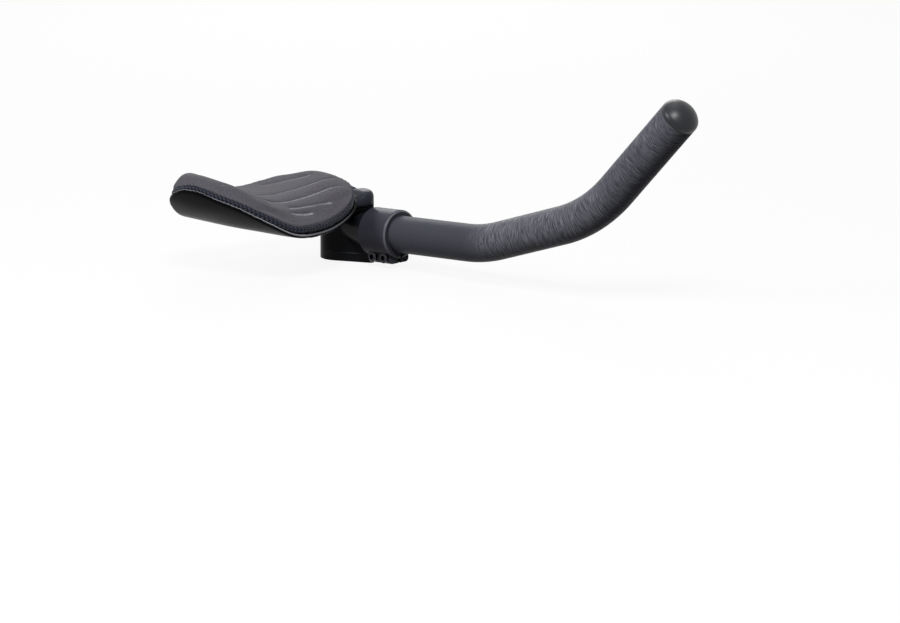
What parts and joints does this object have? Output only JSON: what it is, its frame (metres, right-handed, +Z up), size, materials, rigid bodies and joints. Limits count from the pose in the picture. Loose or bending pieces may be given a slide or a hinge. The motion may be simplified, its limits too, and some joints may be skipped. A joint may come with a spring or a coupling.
{
  "type": "clip-on handlebar extension",
  "caption": "Clip-on time-trial bar extension: a bent carbon tube in a split clamp on a teardrop column, with a padded forearm cup on a bracket beside it.",
  "frame": {"origin": "on the bar seat, under the extension's axis", "axes": "+X forward along the extension, +Y to the rider's left, +Z up; the bar seat faces -Z"},
  "size_m": [0.3144, 0.1299, 0.1255],
  "materials": {
    "carbon": "satin carbon fibre",
    "plug_plastic": "satin black",
    "clamp_finish": "satin black over forged aluminium",
    "bolt_steel": "black oxide",
    "bracket_finish": "gloss black over aluminium",
    "cup_plastic": "gloss black",
    "pad_fabric": "knitted",
    "pad_foam": "matt moulded foam"
  },
  "bodies": {
    "root": {"extension_tube": "carbon", "tip_plug": "plug_plastic", "clamp_body": "clamp_finish", "pinch_bolts": "bolt_steel", "base_spacer": "clamp_finish", "rest_bracket": "bracket_finish", "bracket_bolts": "bolt_steel", "arm_cup": "cup_plastic", "cup_screws": "bolt_steel", "hook_tape": "pad_fabric", "loop_backing": "pad_fabric", "arm_pad": "pad_foam"}
  },
  "joints": []
}
